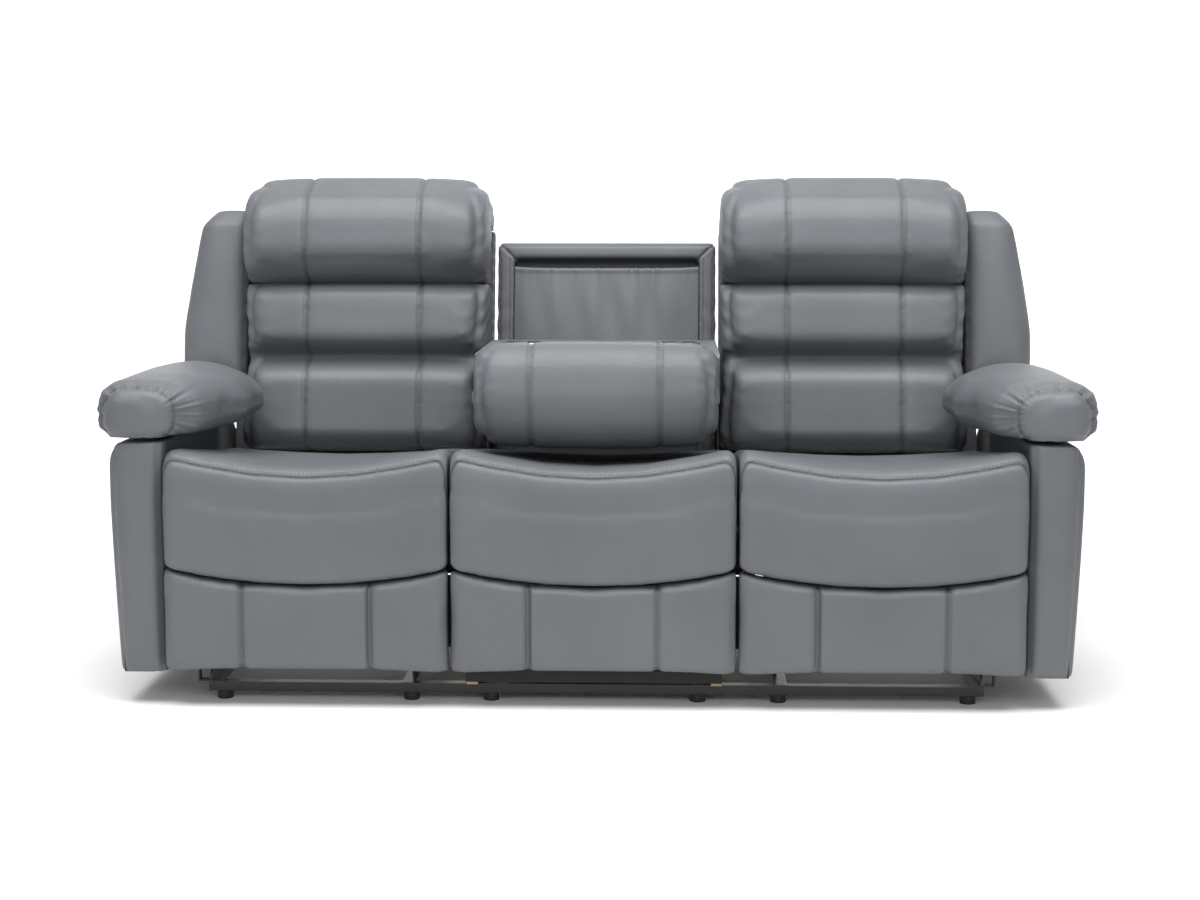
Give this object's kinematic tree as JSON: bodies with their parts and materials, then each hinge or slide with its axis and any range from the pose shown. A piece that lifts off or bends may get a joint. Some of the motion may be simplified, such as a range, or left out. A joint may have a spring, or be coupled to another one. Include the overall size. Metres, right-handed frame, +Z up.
{
  "type": "sofa with drop down console",
  "caption": "Reclining sofa in grey faux leather whose middle back folds down into a console with cup holders.",
  "frame": {"origin": "on the floor under the middle of the footprint, with the outer seats upright and the middle back folded down", "axes": "+X along the seats, to the right seen from the front, +Y to the rear, +Z up"},
  "size_m": [1.984, 0.95, 1.0544],
  "materials": {
    "grey_upholstery": "satin",
    "black_steel": "satin",
    "stainless_steel": "brushed",
    "plywood": "raw",
    "black_plastic": "matte",
    "webbing": "woven",
    "black_cloth": "matte"
  },
  "bodies": {
    "frame": {"front_rail": "black_steel", "rear_rail": "black_steel", "floor_glides": "black_plastic", "base_plates": "black_steel", "centre_seat_box": "plywood", "centre_seat_webbing": "webbing", "centre_seat_cushion": "grey_upholstery", "centre_front_panel": "grey_upholstery", "centre_base_board": "black_cloth", "recess_frame": "grey_upholstery", "recess_pouch": "grey_upholstery", "recess_brackets": "black_steel", "left_arm_body": "grey_upholstery", "right_arm_body": "grey_upholstery", "left_arm_pad": "grey_upholstery", "right_arm_pad": "grey_upholstery", "arm_frames": "black_steel", "arm_brackets": "black_steel"},
    "console": {"console_board": "plywood", "console_tray": "grey_upholstery", "console_cup_holders": "stainless_steel", "console_hinge_arms": "black_steel", "console_lumbar_cushion": "grey_upholstery", "console_head_cushion": "grey_upholstery"},
    "right_seat": {"right_seat_box": "plywood", "right_seat_webbing": "webbing", "right_seat_cushion": "grey_upholstery", "right_seat_plates": "black_steel"},
    "right_back": {"right_back_frame": "plywood", "right_back_brackets": "black_steel", "right_back_shell": "grey_upholstery", "right_lumbar_cushion": "grey_upholstery", "right_head_cushion": "grey_upholstery"},
    "right_front_swing": {"right_swing_front": "black_steel"},
    "right_rear_swing": {"right_swing_rear": "black_steel"},
    "right_footrest_link_a": {"right_link_a": "black_steel"},
    "right_footrest_link_b": {"right_link_b": "black_steel"},
    "right_footrest_link_c": {"right_link_c": "black_steel"},
    "right_footrest_link_d": {"right_link_d": "black_steel"},
    "right_footrest": {"right_footrest_board": "plywood", "right_footrest_pad": "grey_upholstery"},
    "right_handle": {"right_release_handle": "black_plastic"},
    "left_seat": {"left_seat_box": "plywood", "left_seat_webbing": "webbing", "left_seat_cushion": "grey_upholstery", "left_seat_plates": "black_steel"},
    "left_back": {"left_back_frame": "plywood", "left_back_brackets": "black_steel", "left_back_shell": "grey_upholstery", "left_lumbar_cushion": "grey_upholstery", "left_head_cushion": "grey_upholstery"},
    "left_front_swing": {"left_swing_front": "black_steel"},
    "left_rear_swing": {"left_swing_rear": "black_steel"},
    "left_footrest_link_a": {"left_link_a": "black_steel"},
    "left_footrest_link_b": {"left_link_b": "black_steel"},
    "left_footrest_link_c": {"left_link_c": "black_steel"},
    "left_footrest_link_d": {"left_link_d": "black_steel"},
    "left_footrest": {"left_footrest_board": "plywood", "left_footrest_pad": "grey_upholstery"},
    "left_handle": {"left_release_handle": "black_plastic"}
  },
  "joints": [
    {"name": "right_recline", "type": "hinge", "parent": "right_seat", "child": "right_back", "pos_m": [0.571, 0.2, 0.33], "axis": [-1, 0, 0], "range_deg": [0, 35]},
    {"name": "right_front_swing_turn", "type": "hinge", "parent": "frame", "child": "right_front_swing", "pos_m": [0.571, -0.1666, 0.11], "axis": [1, 0, 0], "range_deg": [0, 42]},
    {"name": "right_rear_swing_turn", "type": "hinge", "parent": "frame", "child": "right_rear_swing", "pos_m": [0.571, 0.0634, 0.11], "axis": [1, 0, 0], "range_deg": [0, 42]},
    {"name": "right_seat_level", "type": "hinge", "parent": "right_front_swing", "child": "right_seat", "pos_m": [0.571, -0.12001, 0.23136], "axis": [-1, 0, 0], "range_deg": [0, 42]},
    {"name": "right_footrest_open", "type": "hinge", "parent": "right_seat", "child": "right_footrest_link_a", "pos_m": [0.571, -0.2805, 0.2768], "axis": [-1, 0, 0], "range_deg": [0, 94]},
    {"name": "right_link_b_turn", "type": "hinge", "parent": "right_seat", "child": "right_footrest_link_b", "pos_m": [0.571, -0.2285, 0.2608], "axis": [-1, 0, 0], "range_deg": [0, 94]},
    {"name": "right_link_c_turn", "type": "hinge", "parent": "right_footrest_link_a", "child": "right_footrest_link_c", "pos_m": [0.571, -0.232, 0.07001], "axis": [1, 0, 0], "range_deg": [0, 94]},
    {"name": "right_link_d_turn", "type": "hinge", "parent": "right_footrest_link_a", "child": "right_footrest_link_d", "pos_m": [0.571, -0.24387, 0.12064], "axis": [1, 0, 0], "range_deg": [0, 94]},
    {"name": "right_footrest_turn", "type": "hinge", "parent": "right_footrest_link_c", "child": "right_footrest", "pos_m": [0.571, -0.392, 0.19501], "axis": [-1, 0, 0], "range_deg": [0, 94]},
    {"name": "right_release", "type": "hinge", "parent": "frame", "child": "right_handle", "pos_m": [0.96, -0.112, 0.365], "axis": [0, 0, -1], "range_deg": [0, 40], "stiffness_Nm_per_rad": 0.6},
    {"name": "left_recline", "type": "hinge", "parent": "left_seat", "child": "left_back", "pos_m": [-0.571, 0.2, 0.33], "axis": [-1, 0, 0], "range_deg": [0, 35]},
    {"name": "left_front_swing_turn", "type": "hinge", "parent": "frame", "child": "left_front_swing", "pos_m": [-0.571, -0.1666, 0.11], "axis": [1, 0, 0], "range_deg": [0, 42]},
    {"name": "left_rear_swing_turn", "type": "hinge", "parent": "frame", "child": "left_rear_swing", "pos_m": [-0.571, 0.0634, 0.11], "axis": [1, 0, 0], "range_deg": [0, 42]},
    {"name": "left_seat_level", "type": "hinge", "parent": "left_front_swing", "child": "left_seat", "pos_m": [-0.571, -0.12001, 0.23136], "axis": [-1, 0, 0], "range_deg": [0, 42]},
    {"name": "left_footrest_open", "type": "hinge", "parent": "left_seat", "child": "left_footrest_link_a", "pos_m": [-0.571, -0.2805, 0.2768], "axis": [-1, 0, 0], "range_deg": [0, 94]},
    {"name": "left_link_b_turn", "type": "hinge", "parent": "left_seat", "child": "left_footrest_link_b", "pos_m": [-0.571, -0.2285, 0.2608], "axis": [-1, 0, 0], "range_deg": [0, 94]},
    {"name": "left_link_c_turn", "type": "hinge", "parent": "left_footrest_link_a", "child": "left_footrest_link_c", "pos_m": [-0.571, -0.232, 0.07001], "axis": [1, 0, 0], "range_deg": [0, 94]},
    {"name": "left_link_d_turn", "type": "hinge", "parent": "left_footrest_link_a", "child": "left_footrest_link_d", "pos_m": [-0.571, -0.24387, 0.12064], "axis": [1, 0, 0], "range_deg": [0, 94]},
    {"name": "left_footrest_turn", "type": "hinge", "parent": "left_footrest_link_c", "child": "left_footrest", "pos_m": [-0.571, -0.392, 0.19501], "axis": [-1, 0, 0], "range_deg": [0, 94]},
    {"name": "left_release", "type": "hinge", "parent": "frame", "child": "left_handle", "pos_m": [-0.96, -0.112, 0.365], "axis": [0, 0, 1], "range_deg": [0, 40], "stiffness_Nm_per_rad": 0.6},
    {"name": "console_fold", "type": "hinge", "parent": "frame", "child": "console", "pos_m": [0, 0.16, 0.545], "axis": [-1, 0, 0], "range_deg": [0, 102]}
  ],
  "couplings": [
    {"joint": "right_front_swing_turn", "follows": "right_recline", "ratio": 1.2},
    {"joint": "right_rear_swing_turn", "follows": "right_recline", "ratio": 1.2},
    {"joint": "right_seat_level", "follows": "right_recline", "ratio": 1.2},
    {"joint": "right_link_b_turn", "follows": "right_footrest_open", "ratio": 1},
    {"joint": "right_link_c_turn", "follows": "right_footrest_open", "ratio": 1},
    {"joint": "right_link_d_turn", "follows": "right_footrest_open", "ratio": 1},
    {"joint": "right_footrest_turn", "follows": "right_footrest_open", "ratio": 1},
    {"joint": "left_front_swing_turn", "follows": "left_recline", "ratio": 1.2},
    {"joint": "left_rear_swing_turn", "follows": "left_recline", "ratio": 1.2},
    {"joint": "left_seat_level", "follows": "left_recline", "ratio": 1.2},
    {"joint": "left_link_b_turn", "follows": "left_footrest_open", "ratio": 1},
    {"joint": "left_link_c_turn", "follows": "left_footrest_open", "ratio": 1},
    {"joint": "left_link_d_turn", "follows": "left_footrest_open", "ratio": 1},
    {"joint": "left_footrest_turn", "follows": "left_footrest_open", "ratio": 1}
  ]
}
